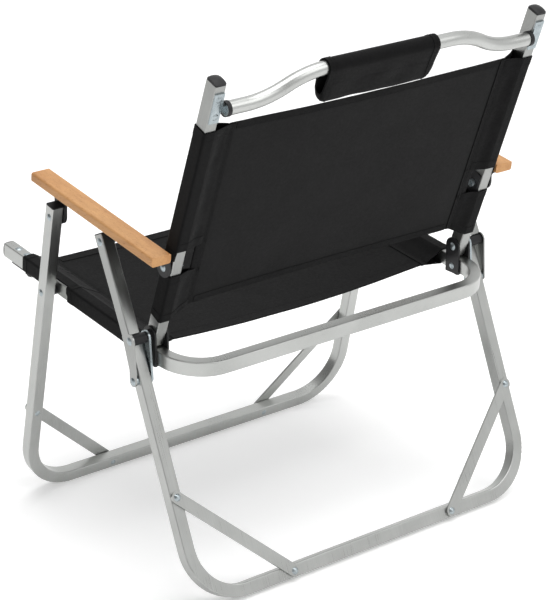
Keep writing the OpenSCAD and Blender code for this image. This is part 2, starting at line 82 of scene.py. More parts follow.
# A stitch: how deep its ends and its middle sink, then its crown and flat top as shares of its size.
STITCH_SINK = 0.0003
STITCH_BELLY = 0.0002
STITCH_CROWN = 0.45
STITCH_FLAT = 0.28
# Loose cloth between seam and rail: where it is free, its creases, and the flare at its mouths.
FREE_GAP = 0.002
FREE_REACH = 0.020
CREASE_SCALE = 38.0
CREASE_HEIGHT = 0.0011
MOUTH_REACH = 0.012
MOUTH_FLARE = 0.0007
# A panel's unevenness: broad waves, and ripples that are this share of them.
WAVE_SCALE = 9.0
RIPPLE_SCALE = 31.0
RIPPLE_SHARE = 0.25
# The gap between a lap's layers, how near its seams a panel lies flat, and how far inside the
# seam's outer edge it ends.
LAP_GAP = 0.0001
FLAT_REACH = 0.03
SEAM_GAP = 0.0005
# In half thicknesses of cloth: where a hem starts, and where a panel's hem ends.
HEM_ROOT = 0.5
PANEL_HEM = 2.4
# The studio's lamps: name, place, diameter and power.
LAMPS = (
    ("key", (-1.4, 2.8, 2.9), 2.6, 26.0),
    ("top", (0.0, 0.2, 3.6), 3.2, 66.0),
    ("side", (3.4, 1.2, 1.0), 2.0, 6.0),
)
# The surrounding light fades along X, from this direction and strength to that one.
GLOW_FROM = (-0.5, 1.0)
GLOW_TO = (0.9, 0.28)
WHITE = (1, 1, 1, 1)


def back_place(x, s, off):
    """A point of the back: s along the upright from the pivot, off towards the rear."""
    y = BACK_PIVOT[0] + s * math.sin(BACK_LEAN) + off * math.cos(BACK_LEAN)
    z = BACK_PIVOT[1] + s * math.cos(BACK_LEAN) - off * math.sin(BACK_LEAN)
    return Vector((x, y, z))


def seat_place(x, t, n):
    """A point of the seat: t forward from the rear tube, n up from the rail's middle."""
    y = SEAT_REAR[0] - t * math.cos(SEAT_RISE) + n * math.sin(SEAT_RISE)
    z = SEAT_REAR[1] + t * math.sin(SEAT_RISE) + n * math.cos(SEAT_RISE)
    return Vector((x, y, z))


# ---------------------------------------------------------------- mesh helpers


def clamp(value):
    """The value, held between 0 and 1."""
    return min(max(value, 0.0), 1.0)


def spread(a, b, count):
    """Evenly spaced numbers from a to b, with count gaps."""
    return [a + (b - a) * k / count for k in range(count + 1)]


def running(points):
    """Length along a row of points, from its first one."""
    total = [0.0]
    for a, b in zip(points, points[1:]):
        total.append(total[-1] + (b - a).length)
    return total


class Cloth:
    """Collects slabs of cloth in one mesh, with UVs in metres, so a weave keeps its scale."""

    def __init__(self):
        self.verts = []
        self.faces = []
        self.uvs = []
        self.mats = []
        self.area = 0.0

    def slab(self, grid, low, high, mat=0, counted=True):
        """grid holds rows of (point, normal); the slab lies from low to high along the normals."""
        rows = len(grid)
        cols = len(grid[0])
        base = len(self.verts)
        for side in (high, low):
            for row in grid:
                for p, n in row:
                    self.verts.append(p + n * side)
        across = running([p for p, _ in grid[0]])
        along = running([row[0][0] for row in grid])
        size = rows * cols

        def put(*corners):
            self.faces.append([base + k * size + i * cols + j for k, i, j in corners])
            self.uvs.append([(across[j], along[i]) for _, i, j in corners])
            self.mats.append(mat)

        for i in range(rows - 1):
            for j in range(cols - 1):
                put((0, i, j), (0, i, j + 1), (0, i + 1, j + 1), (0, i + 1, j))
                put((1, i, j), (1, i + 1, j), (1, i + 1, j + 1), (1, i, j + 1))
                if counted:
                    p = grid[i][j][0]
                    a = grid[i][j + 1][0] - p
                    b = grid[i + 1][j][0] - p
                    self.area += a.cross(b).length
        for j in range(cols - 1):
            put((0, 0, j), (1, 0, j), (1, 0, j + 1), (0, 0, j + 1))
            put((0, rows - 1, j), (0, rows - 1, j + 1), (1, rows - 1, j + 1), (1, rows - 1, j))
        for i in range(rows - 1):
            put((0, i, 0), (0, i + 1, 0), (1, i + 1, 0), (1, i, 0))
            put((0, i, cols - 1), (1, i, cols - 1), (1, i + 1, cols - 1), (0, i + 1, cols - 1))

    def build(self, name, materials, crease=38.0):
        """Makes the object, with outward normals and sharp edges above the crease angle."""
        mesh = bpy.data.meshes.new(name)
        mesh.from_pydata([tuple(v) for v in self.verts], [], self.faces)
        layer = mesh.uv_layers.new(name="UVMap")
        corners = [uv for uvs in self.uvs for uv in uvs]
        for corner, uv in zip(layer.data, corners):
            corner.uv = uv
        for material in materials:
            mesh.materials.append(material)
        for polygon, index in zip(mesh.polygons, self.mats):
            polygon.material_index = index
        work = bmesh.new()
        work.from_mesh(mesh)
        bmesh.ops.recalc_face_normals(work, faces=work.faces)
        limit = math.radians(crease)
        for face in work.faces:
            face.smooth = True
        for edge in work.edges:
            edge.smooth = len(edge.link_faces) == 2 and edge.calc_face_angle(0) < limit
        work.to_mesh(mesh)
        work.free()
        thing = bpy.data.objects.new(name, mesh)
        bpy.context.scene.collection.objects.link(thing)
        return thing


def sew(cloth, line, lift, pitch=0.0042, length=0.0031, width=0.0008):
    """Adds a row of raised thread stitches along a line of (point, normal)."""
    points = [p for p, _ in line]
    reach = running(points)
    count = int(reach[-1] / pitch)
    if count < 1:
        return
    k = 0
    for c in range(count):
        middle = (c + 0.5) * reach[-1] / count
        while k < len(reach) - 2 and reach[k + 1] < middle:
            k += 1
        span = max(reach[k + 1] - reach[k], 1e-9)
        f = (middle - reach[k]) / span
        p = points[k].lerp(points[k + 1], f)
        n = line[k][1].lerp(line[k + 1][1], f).normalized()
        run = (points[k + 1] - points[k]).normalized()
        side = run.cross(n)
        base = len(cloth.verts)
        sunk = p + n * (lift - STITCH_SINK)
        top = p + n * (lift + width * STITCH_CROWN)
        cloth.verts.append(sunk - run * length / 2)
        cloth.verts.append(sunk + run * length / 2)
        for at in (-STITCH_FLAT, STITCH_FLAT):
            low = sunk + run * length * at
            cloth.verts.append(low + side * width / 2)
            cloth.verts.append(top + run * length * at)
            cloth.verts.append(low - side * width / 2)
            cloth.verts.append(low - n * STITCH_BELLY)
        for face in (
            (0, 3, 2), (0, 4, 3), (0, 5, 4), (0, 2, 5),
            (2, 3, 7, 6), (3, 4, 8, 7), (4, 5, 9, 8), (5, 2, 6, 9),
            (1, 6, 7), (1, 7, 8), (1, 8, 9), (1, 9, 6),
        ):
            cloth.faces.append([base + v for v in face])
            cloth.uvs.append([(0.0, 0.0)] * len(face))
            cloth.mats.append(0)


def wrinkle(p, seed, scale, height):
    """A small seeded unevenness for a point of cloth."""
    return noise.noise(Vector((p.x * scale + seed, p.y * scale, p.z * scale))) * height


def touch(q, centre, radius, turn):
    """Angle of the normal where a line from q touches the circle, on the side given by turn."""
    dx = q[0] - centre[0]
    dh = q[1] - centre[1]
    return math.atan2(dh, dx) + turn * math.acos(radius / math.hypot(dx, dh))


def around_rail(seam_in, seam_out, seam_h, lap, skin):
    """Section of a sleeve in (x, h): from the lap seam over the rail and back to the seam."""
    radius = RAIL_CORNER + skin
    low = RAIL_IN + RAIL_CORNER
    far = RAIL_OUT - RAIL_CORNER
    top = RAIL_HALF - RAIL_CORNER
    start = (seam_out, seam_h + lap)
    last = (seam_out, seam_h - lap)
    points = [(seam_in, seam_h + lap), (seam_in * 0.5 + seam_out * 0.5, seam_h + lap), start]

    def arc(cx, ch, first, end, count=5):
        for k in range(count + 1):
            a = first + (end - first) * k / count
            points.append((cx + radius * math.cos(a), ch + radius * math.sin(a)))

    def straight(end, count):
        x0, h0 = points[-1]
        for k in range(1, count):
            f = k / count
            points.append((x0 + (end[0] - x0) * f, h0 + (end[1] - h0) * f))

    first = touch(start, (low, top), radius, -1) % (2 * math.pi)
    straight((low + radius * math.cos(first), top + radius * math.sin(first)), 8)
    arc(low, top, first, math.pi / 2, 3)
    straight((far, top + radius), 4)
    arc(far, top, math.pi / 2, 0)
    straight((far + radius, -top), 5)
    arc(far, -top, 0, -math.pi / 2)
    straight((low, -top - radius), 4)
    end = touch(last, (low, -top), radius, 1) % (2 * math.pi) - 2 * math.pi
    arc(low, -top, -math.pi / 2, end, 3)
    straight(last, 8)
    points.append(last)
    points.append((seam_in * 0.5 + seam_out * 0.5, seam_h - lap))
    points.append((seam_in, seam_h - lap))
    return points


def section_normals(points):
    """Outward normals of a section that runs over the top and back below."""
    normals = []
    for k in range(len(points)):
        a = points[max(k - 1, 0)]
        b = points[min(k + 1, len(points) - 1)]
        dx = b[0] - a[0]
        dh = b[1] - a[1]
        size = math.hypot(dx, dh)
        normals.append((-dh / size, dx / size))
    return normals


def sleeve_grid(place, side, section, starts, ends, steps, slack, seed):
    """Rows of (point, normal) of a sleeve. starts and ends give each column's reach."""
    normals = section_normals(section)
    grid = []
    for i in range(steps + 1):
        v = i / steps
        row = []
        for j, (x, h) in enumerate(section):
            nx, nh = normals[j]
            free = math.sin(math.pi * clamp((RAIL_IN - FREE_GAP - x) / FREE_REACH))
            s = starts[j] + (ends[j] - starts[j]) * v
            p = place(side * x, s, h)
            mouth = max(0.0, 1 - min(v, 1 - v) * abs(ends[j] - starts[j]) / MOUTH_REACH)
            give = wrinkle(p, seed, CREASE_SCALE, CREASE_HEIGHT) - slack + MOUTH_FLARE * mouth
            give *= free
            q = place(side * (x + nx * give), s, h + nh * give)
            n = (place(side * (x + nx), s, h + nh) - place(side * x, s, h)).normalized()
            row.append((q, n))
        grid.append(row)
    return grid


def plane_grid(place, xs, vs, height, seed, rough):
    """Rows of (point, normal) of a panel: height(x, v) is its distance from the rail plane."""
    grid = []
    for v in vs:
        row = []
        for x in xs:
            p = place(x, v, 0)
            h = height(x, v) + wrinkle(p, seed, WAVE_SCALE, rough)
            h += wrinkle(p, seed + 5, RIPPLE_SCALE, rough * RIPPLE_SHARE)
            n = (place(x, v, 1) - p).normalized()
            row.append((place(x, v, h), n))
        grid.append(row)
    return grid


def column(grid, j):
    """One column of a grid, as a line of (point, normal)."""
    return [row[j] for row in grid]


def columns(grid, wanted):
    """The wanted columns of a grid, as a smaller grid."""
    return [[row[j] for j in wanted] for row in grid]


def hem_rows(grid, width, from_end):
    """The rows that a hem covers at one end of a grid, and the hem's inner row."""
    lengths = running([p for p, _ in column(grid[::-1] if from_end else grid, 0)])
    k = next(i for i, length in enumerate(lengths) if length >= width)
    if from_end:
        return grid[-k - 1 :], grid[-k - 1]
    return grid[: k + 1], grid[k]


def lap_seams(seams, grid, lift):
    """Sews the two rows of a lap seam on both faces of a sleeve."""
    last = len(grid[0]) - 1
    for j in (1, 2):
        sew(seams, column(grid, j), lift)
        sew(seams, column(grid, last - j), lift)


# ---------------------------------------------------------------- finishes


def grey(value):
    return (value, value, value, 1)


def tones(colours, key, shade=1.0):
    """A finish's dark and light colours, scaled by its shade, which paints shade or a highlight into a
    tube's colour.
    """
    pair = (getattr(colours, key + "_dark"), getattr(colours, key + "_light"))
    return [(*(part * shade for part in colour), 1) for colour in pair]


class Finish:
    """A material under construction, with short calls for the nodes it needs."""

    def __init__(self, name):
        self.material = bpy.data.materials.new(name)
        self.material.use_nodes = True
        self.tree = self.material.node_tree
        self.shader = self.tree.nodes["Principled BSDF"]
        self.place = self.tree.nodes.new("ShaderNodeTexCoord")
        self.here = self.place.outputs["Object"]

    def put(self, **values):
        for key, value in values.items():
            self.shader.inputs[key.replace("_", " ")].default_value = value

    def link(self, a, b):
        self.tree.links.new(a, b)

    def turned(self, angle, scale):
        """Object coordinates turned about X, then scaled, so that local Z runs along a tube."""
        turn = self.tree.nodes.new("ShaderNodeVectorRotate")
        turn.rotation_type = "X_AXIS"
        turn.inputs["Angle"].default_value = angle
        self.link(self.place.outputs["Object"], turn.inputs["Vector"])
        node = self.tree.nodes.new("ShaderNodeMapping")
        node.inputs["Scale"].default_value = scale
        self.link(turn.outputs["Vector"], node.inputs["Vector"])
        return node.outputs["Vector"]

    def noise(self, vector, scale, detail=3.0, rough=0.5):
        node = self.tree.nodes.new("ShaderNodeTexNoise")
        node.inputs["Scale"].default_value = scale
        node.inputs["Detail"].default_value = detail
        node.inputs["Roughness"].default_value = rough
        self.link(vector, node.inputs["Vector"])
        return node.outputs["Fac"]

    def ramp(self, value, low, high, at=(0.3, 0.7)):
        node = self.tree.nodes.new("ShaderNodeValToRGB")
        node.color_ramp.elements[0].position = at[0]
        node.color_ramp.elements[1].position = at[1]
        node.color_ramp.elements[0].color = low
        node.color_ramp.elements[1].color = high
        self.link(value, node.inputs["Fac"])
        return node.outputs["Color"]

    def span(self, value, low, high):
        node = self.tree.nodes.new("ShaderNodeMapRange")
        node.inputs["From Min"].default_value = 0.25
        node.inputs["From Max"].default_value = 0.75
        node.inputs["To Min"].default_value = low
        node.inputs["To Max"].default_value = high
        self.link(value, node.inputs["Value"])
        return node.outputs["Result"]

    def mix(self, factor, a, b, kind="MIX"):
        node = self.tree.nodes.new("ShaderNodeMixRGB")
        node.blend_type = kind
        if isinstance(factor, float):
            node.inputs["Fac"].default_value = factor
        else:
            self.link(factor, node.inputs["Fac"])
        self.link(a, node.inputs["Color1"])
        self.link(b, node.inputs["Color2"])
        return node.outputs["Color"]

    def math(self, kind, a, b=None):
        node = self.tree.nodes.new("ShaderNodeMath")
        node.operation = kind
        for k, value in enumerate((a, b)):
            if value is None:
                continue
            if isinstance(value, (int, float)):
                node.inputs[k].default_value = value
            else:
                self.link(value, node.inputs[k])
        return node.outputs["Value"]

    def bump(self, height, strength, distance):
        node = self.tree.nodes.new("ShaderNodeBump")
        node.inputs["Strength"].default_value = strength
        node.inputs["Distance"].default_value = distance
        self.link(height, node.inputs["Height"])
        self.link(node.outputs["Normal"], self.shader.inputs["Normal"])

    def split(self, vector):
        node = self.tree.nodes.new("ShaderNodeSeparateXYZ")
        self.link(vector, node.inputs["Vector"])
        return node.outputs["X"], node.outputs["Y"], node.outputs["Z"]


def aluminium(colours, name, lean, shade):
    """Satin anodised extrusion: fine drawn lines along the tube and a soft cloudiness."""
    f = Finish(name)
    f.put(Metallic=1.0)
    lines = f.noise(f.turned(math.radians(lean), (1.0, 1.0, 0.012)), 1500.0, 2.0)
    cloud = f.noise(f.here, 16.0, 3.0)
    grains = f.noise(f.here, 1900.0, 2.0)
    # The tube's two tones carry its painted shade or painted highlight, from its shade in TUBES.
    tone = f.ramp(cloud, *tones(colours, "aluminium", shade))
    streak = f.ramp(lines, grey(0.90), WHITE)
    f.link(f.mix(0.8, tone, streak, "MULTIPLY"), f.shader.inputs["Base Color"])
    both = f.math("ADD", f.math("MULTIPLY", lines, 0.6), f.math("MULTIPLY", cloud, 0.4))
    f.link(f.span(both, 0.24, 0.38), f.shader.inputs["Roughness"])
    f.bump(f.math("ADD", lines, grains), 0.10, 0.0001)
    return f.material


def zinc(colours):
    """Bright zinc plating: slightly blue, with faint spangle and darker worn spots."""
    f = Finish("zinc_plating")
    f.put(Metallic=1.0)
    cells = f.tree.nodes.new("ShaderNodeTexVoronoi")
    cells.inputs["Scale"].default_value = 420.0
    f.link(f.here, cells.inputs["Vector"])
    cloud = f.noise(f.here, 130.0, 4.0)
    tone = f.ramp(cloud, *tones(colours, "zinc"))
    shade = f.ramp(cells.outputs["Distance"], (0.86, 0.88, 0.90, 1), WHITE, (0.0, 0.9))
    f.link(f.mix(0.7, tone, shade, "MULTIPLY"), f.shader.inputs["Base Color"])
    f.link(f.span(cloud, 0.20, 0.38), f.shader.inputs["Roughness"])
    f.bump(f.noise(f.here, 800.0, 2.0), 0.08, 0.0002)
    return f.material


def plastic(colours):
    """Moulded black plastic with a fine spark texture."""
    f = Finish("moulded_plastic")
    f.put(Specular_IOR_Level=0.22)
    spark = f.noise(f.here, 1500.0, 3.0)
    cloud = f.noise(f.here, 60.0, 3.0)
    f.link(f.ramp(cloud, *tones(colours, "plastic")), f.shader.inputs["Base Color"])
    f.link(f.span(cloud, 0.38, 0.52), f.shader.inputs["Roughness"])
    f.bump(spark, 0.18, 0.0002)
    return f.material


def powder_coat(colours):
    """Black powder coat on steel, with its orange-peel surface."""
    f = Finish("powder_coat")
    f.put(Specular_IOR_Level=0.3)
    peel = f.noise(f.here, 620.0, 2.0)
    cloud = f.noise(f.here, 45.0, 3.0)
    f.link(f.ramp(cloud, *tones(colours, "coat")), f.shader.inputs["Base Color"])
    f.link(f.span(cloud, 0.34, 0.50), f.shader.inputs["Roughness"])
    f.bump(peel, 0.25, 0.0003)
    return f.material


def beech(colours):
    """Oiled beech: long soft grain along the arm and short dark ray flecks."""
    f = Finish("oiled_beech")
    f.put(Specular_IOR_Level=0.35)
    grain = f.noise(f.turned(ARM_SLOPE, (1.0, 0.045, 1.0)), 130.0, 5.0, 0.6)
    bands = f.noise(f.turned(ARM_SLOPE, (1.0, 0.06, 0.5)), 32.0, 3.0)
    flecks = f.noise(f.turned(ARM_SLOPE, (1.0, 0.16, 1.0)), 820.0, 1.0)
    pores = f.noise(f.turned(ARM_SLOPE, (1.0, 0.03, 1.0)), 900.0, 2.0)
    tone = f.ramp(bands, *tones(colours, "beech"), (0.28, 0.74))
    lines = f.ramp(grain, (0.80, 0.74, 0.66, 1), WHITE, (0.34, 0.62))
    marks = f.ramp(flecks, WHITE, (0.70, 0.58, 0.46, 1), (0.63, 0.74))
    fine = f.ramp(pores, (0.88, 0.84, 0.80, 1), WHITE, (0.30, 0.55))
    for layer, strength in ((lines, 0.75), (marks, 0.7), (fine, 0.7)):
        tone = f.mix(strength, tone, layer, "MULTIPLY")
    f.link(tone, f.shader.inputs["Base Color"])
    f.link(f.span(grain, 0.44, 0.58), f.shader.inputs["Roughness"])
    f.bump(f.math("ADD", grain, f.math("MULTIPLY", pores, 0.6)), 0.12, 0.0003)
    return f.material


def weave(colours, name, pitch=0.00062):
    """Coated polyester cloth: plain weave from its UVs in metres, with a soft mottling."""
    f = Finish(name)
    f.put(Sheen_Weight=0.05, Sheen_Roughness=0.45, Specular_IOR_Level=0.09)
    u, v, _ = f.split(f.place.outputs["UV"])
    warp = f.math("SINE", f.math("MULTIPLY", u, math.pi / pitch))
    weft = f.math("SINE", f.math("MULTIPLY", v, math.pi / pitch))
    over = f.math("MULTIPLY", warp, weft)
    level = f.math("ADD", f.math("MULTIPLY", over, 0.5), 0.5)
    slub = f.noise(f.here, 260.0, 3.0)
    cloud = f.noise(f.here, 22.0, 4.0)
    tone = f.ramp(cloud, *tones(colours, name), (0.25, 0.75))
    shade = f.ramp(level, grey(0.72), WHITE, (0.1, 0.9))
    yarn = f.ramp(slub, grey(0.86), WHITE)
    tone = f.mix(0.8, tone, shade, "MULTIPLY")
    f.link(f.mix(0.8, tone, yarn, "MULTIPLY"), f.shader.inputs["Base Color"])
    f.link(f.span(slub, 0.62, 0.80), f.shader.inputs["Roughness"])
    f.bump(f.math("ADD", level, f.math("MULTIPLY", slub, 0.6)), 0.35, 0.00018)
    return f.material


def thread(colours):
    """Black sewing thread, a little glossier than the cloth."""
    f = Finish("sewing_thread")
    f.put(Roughness=0.6, Specular_IOR_Level=0.15)
    twist = f.noise(f.here, 1600.0, 2.0)
    f.link(f.ramp(twist, *tones(colours, "thread")), f.shader.inputs["Base Color"])
    f.bump(twist, 0.3, 0.0002)
    return f.material


def sewn(name, colours):
    """The cloth or thread of that name, made once and shared by all sewn pieces."""
    if name in bpy.data.materials:
        return bpy.data.materials[name]
    return thread(colours) if name == "sewing_thread" else weave(colours, name)


# ---------------------------------------------------------------- settings


class ChairColours(bpy.types.PropertyGroup):
    aluminium_dark: FloatVectorProperty(
        name="Aluminium, dark", description="Anodised tube: darkest tone",
        default=(0.405, 0.412, 0.4), subtype="COLOR")
    aluminium_light: FloatVectorProperty(
        name="Aluminium, light", description="Anodised tube: lightest tone",
        default=(0.475, 0.483, 0.47), subtype="COLOR")
    zinc_dark: FloatVectorProperty(
        name="Zinc, dark", description="Plated rivets, bolts and pins: darkest tone",
        default=(0.3, 0.34, 0.355), subtype="COLOR")
    zinc_light: FloatVectorProperty(
        name="Zinc, light", description="Plated rivets, bolts and pins: lightest tone",
        default=(0.42, 0.465, 0.48), subtype="COLOR")
    plastic_dark: FloatVectorProperty(
        name="Plastic, dark", description="Caps, plugs and spacers: darkest tone",
        default=(0.011, 0.011, 0.012), subtype="COLOR")
    plastic_light: FloatVectorProperty(
        name="Plastic, light", description="Caps, plugs and spacers: lightest tone",
        default=(0.019, 0.019, 0.02), subtype="COLOR")
    coat_dark: FloatVectorProperty(
        name="Powder coat, dark", description="Steel brackets: darkest tone",
        default=(0.01, 0.01, 0.011), subtype="COLOR")
    coat_light: FloatVectorProperty(
        name="Powder coat, light", description="Steel brackets: lightest tone",
        default=(0.018, 0.018, 0.019), subtype="COLOR")
    beech_dark: FloatVectorProperty(
        name="Beech, dark", description="Armrests: darkest tone",
        default=(0.5, 0.245, 0.09), subtype="COLOR")
    beech_light: FloatVectorProperty(
        name="Beech, light", description="Armrests: lightest tone",
        default=(0.63, 0.355, 0.152), subtype="COLOR")
    side_cloth_dark: FloatVectorProperty(
        name="Side cloth, dark", description="Sleeves, hems, seat and wrap: darkest tone",
        default=(0.0026, 0.0026, 0.0028), subtype="COLOR")
    side_cloth_light: FloatVectorProperty(
        name="Side cloth, light", description="Sleeves, hems, seat and wrap: lightest tone",
        default=(0.004, 0.004, 0.0042), subtype="COLOR")
    panel_cloth_dark: FloatVectorProperty(
        name="Panel cloth, dark", description="The back's panel: darkest tone",
        default=(0.007, 0.007, 0.0072), subtype="COLOR")
    panel_cloth_light: FloatVectorProperty(
        name="Panel cloth, light", description="The back's panel: lightest tone",
        default=(0.0094, 0.0094, 0.0096), subtype="COLOR")
    thread_dark: FloatVectorProperty(
        name="Thread, dark", description="Stitches: darkest tone",
        default=(0.004, 0.004, 0.0042), subtype="COLOR")
    thread_light: FloatVectorProperty(
        name="Thread, light", description="Stitches: lightest tone",
        default=(0.01, 0.01, 0.0103), subtype="COLOR")


class ChairCloth(bpy.types.PropertyGroup):
    half: FloatProperty(name="Half thickness", description="Half the cloth's thickness",
                        default=0.0005, unit="LENGTH", subtype="DISTANCE")
    skin: FloatProperty(name="Skin", description="Cloth middle above the rail's face",
                        default=0.00065, unit="LENGTH", subtype="DISTANCE")
    hem: FloatProperty(name="Hem", description="Width of a folded hem",
                       default=0.009, unit="LENGTH", subtype="DISTANCE")
    fold: FloatProperty(name="Hem thickness", description="What a hem adds on the outside",
                        default=0.0004, unit="LENGTH", subtype="DISTANCE")


class ChairBack(bpy.types.PropertyGroup):
    seam_in: FloatProperty(name="Seam inner edge", description="Lap seam's inner edge from the middle",
                           default=0.2145, unit="LENGTH", subtype="DISTANCE")
    seam_out: FloatProperty(name="Seam outer edge", description="Lap seam's outer edge from the middle",
                            default=0.2225, unit="LENGTH", subtype="DISTANCE")
    depth: FloatProperty(name="Panel offset", description="Panel behind the uprights' middle plane",
                         default=0.0033, unit="LENGTH", subtype="DISTANCE")
    bottom: FloatProperty(name="Lower edge", description="Panel's lower edge above the pivot",
                          default=0.042, unit="LENGTH", subtype="DISTANCE")
    top: FloatProperty(name="Upper edge", description="Panel's upper edge above the pivot",
                       default=0.3225, unit="LENGTH", subtype="DISTANCE")
    dip: FloatProperty(name="Top dip", description="How far the upper edge hangs down in the middle",
                       default=0.0052, unit="LENGTH", subtype="DISTANCE")
    hollow: FloatProperty(name="Hollow", description="How far the panel's middle lies further forward",
                          default=0.0022, unit="LENGTH", subtype="DISTANCE")
    sleeve: FloatProperty(name="Sleeve end", description="Lower end of the sleeves above the pivot",
                          default=0.029, unit="LENGTH", subtype="DISTANCE")
    window_low: FloatProperty(name="Window bottom", description="Lower end of the armrest window",
                              default=0.103, unit="LENGTH", subtype="DISTANCE")
    window_high: FloatProperty(name="Window top", description="Upper end of the armrest window",
                               default=0.1415, unit="LENGTH", subtype="DISTANCE")


class ChairSeat(bpy.types.PropertyGroup):
    seam_in: FloatProperty(name="Seam inner edge", description="Lap seam's inner edge from the middle",
                           default=0.213, unit="LENGTH", subtype="DISTANCE")
    seam_out: FloatProperty(name="Seam outer edge", description="Lap seam's outer edge from the middle",
                            default=0.221, unit="LENGTH", subtype="DISTANCE")
    drop: FloatProperty(name="Seam drop", description="Seam below the rails' middle plane",
                        default=0.0050, unit="LENGTH", subtype="DISTANCE")
    sag: FloatProperty(name="Sag", description="How far the middle hangs below the seams, at the rear edge",
                       default=0.0085, unit="LENGTH", subtype="DISTANCE")
    firm: FloatProperty(name="Firm front", description="Share of the sag that is gone at the front edge",
                        default=0.65, subtype="FACTOR")
    rear: FloatProperty(name="Rear edge", description="Rear edge, forward of the rear tube",
                        default=0.095, unit="LENGTH", subtype="DISTANCE")
    window_rear: FloatProperty(name="Window rear", description="Rear end of the leg pivot window",
                               default=0.263, unit="LENGTH", subtype="DISTANCE")
    window_front: FloatProperty(name="Window front", description="Front end of the leg pivot window",
                                default=0.316, unit="LENGTH", subtype="DISTANCE")
    front: FloatProperty(name="Front edge", description="Front edge, forward of the rear tube",
                         default=0.370, unit="LENGTH", subtype="DISTANCE")


class ChairWrap(bpy.types.PropertyGroup):
    half_length: FloatProperty(name="Half length", description="Half the wrap's length",
                               default=0.0875, unit="LENGTH", subtype="DISTANCE")
    middle: FloatProperty(name="Middle", description="Middle of the wrap along the handle",
                          default=0.015, unit="LENGTH", subtype="DISTANCE")
    centre_s: FloatProperty(name="Tube height", description="Handle tube above the pivot",
                            default=0.3818, unit="LENGTH", subtype="DISTANCE")
    centre_off: FloatProperty(name="Tube offset", description="Handle tube behind the middle plane",
                              default=0.012, unit="LENGTH", subtype="DISTANCE")
    over: FloatProperty(name="Over the tube", description="Radius of the wrap's middle on the tube",
                        default=0.0106, unit="LENGTH", subtype="DISTANCE")
    fold: FloatProperty(name="Bottom fold", description="Radius of the fold at the bottom",
                        default=0.0070, unit="LENGTH", subtype="DISTANCE")
    hang: FloatProperty(name="Hang", description="From the tube's middle to the bottom fold's middle",
                        default=0.0425, unit="LENGTH", subtype="DISTANCE")
    corner: FloatProperty(name="Corner", description="Radius of the lower corners",
                          default=0.013, unit="LENGTH", subtype="DISTANCE")
    half: FloatProperty(name="Half thickness", description="Half the padded cloth's thickness",
                        default=0.0008, unit="LENGTH", subtype="DISTANCE")
    turn_in: FloatProperty(name="Hem thickness", description="What an end hem adds on the outside",
                           default=0.0006, unit="LENGTH", subtype="DISTANCE")


class ChairStage(bpy.types.PropertyGroup):
    camera: FloatVectorProperty(name="Camera", description="Where the camera stands",
                                default=(1.7741, 2.2937, 1.4753), unit="LENGTH", subtype="TRANSLATION")
    target: FloatVectorProperty(name="Target", description="What the camera looks at",
                                default=(0.0391, 0.0647, 0.3167), unit="LENGTH", subtype="TRANSLATION")
    lens: FloatProperty(name="Lens", description="Focal length", default=150.17, unit="CAMERA")
    floor: FloatProperty(name="Floor", description="Side of the floor", default=14.0,
                         unit="LENGTH", subtype="DISTANCE")
    light: FloatProperty(name="Light", description="Share of the studio's light",
                         default=1.0, subtype="FACTOR")


class ChairSettings(bpy.types.PropertyGroup):
    colours: PointerProperty(type=ChairColours, name="Colours", description="Each finish's two tones")
    cloth: PointerProperty(type=ChairCloth, name="Cloth", description="What all sewn pieces share")
    back: PointerProperty(type=ChairBack, name="Back", description="The back cover")
    seat: PointerProperty(type=ChairSeat, name="Seat", description="The seat cover")
    wrap: PointerProperty(type=ChairWrap, name="Wrap", description="The wrap on the handle")
    stage: PointerProperty(type=ChairStage, name="Stage", description="Floor, lights and camera")


# ---------------------------------------------------------------- operators


class CHAIR_OT_finishes(bpy.types.Operator):
    """Give every piece of the frame its own finish"""

    bl_idname = "chair.finishes"
    bl_label = "Finishes"

    def execute(self, context):
        colours = context.scene.chair.colours
        metal = {}
        # One aluminium copy per kind of tube, each with its own painted shade or painted highlight.
        for key, (lean, shade) in TUBES.items():
            metal[key] = aluminium(colours, "anodised_" + key, lean, shade)
        black = plastic(colours)
        coat = powder_coat(colours)
        plated = zinc(colours)
        wood = beech(colours)
        alu = {
            "seat_frame_tube": "seat", "front_crossbar": "seat", "upright_left": "upright",
            "upright_right": "upright", "handle_tube": "handle", "front_leg_frame": "front",
            "front_braces": "front", "rear_leg_frame": "rear", "rear_braces": "rear",
            "arm_link_left": "link", "arm_link_right": "link",
        }
        dark = {
            "seat_end_caps", "crossbar_brackets", "pivot_spacers", "leg_spacers", "upright_caps",
            "handle_rings", "front_leg_plugs", "rear_leg_plugs", "link_plugs", "pivot_sleeves",
            "arm_washers",
        }
        coated = {
            "rear_bracket_left", "rear_bracket_right", "arm_bracket_left", "arm_bracket_right",
            "arm_backing_plates",
        }
        timber = {"arm_wood_left", "arm_wood_right"}
        for name, node in frame["nodes"].items():
            if name in alu:
                finish = metal[alu[name]]
            elif name in dark:
                finish = black
            elif name in coated:
                finish = coat
            elif name in timber:
                finish = wood
            else:
                finish = plated
            node.data.materials.clear()
            node.data.materials.append(finish)
        return {"FINISHED"}


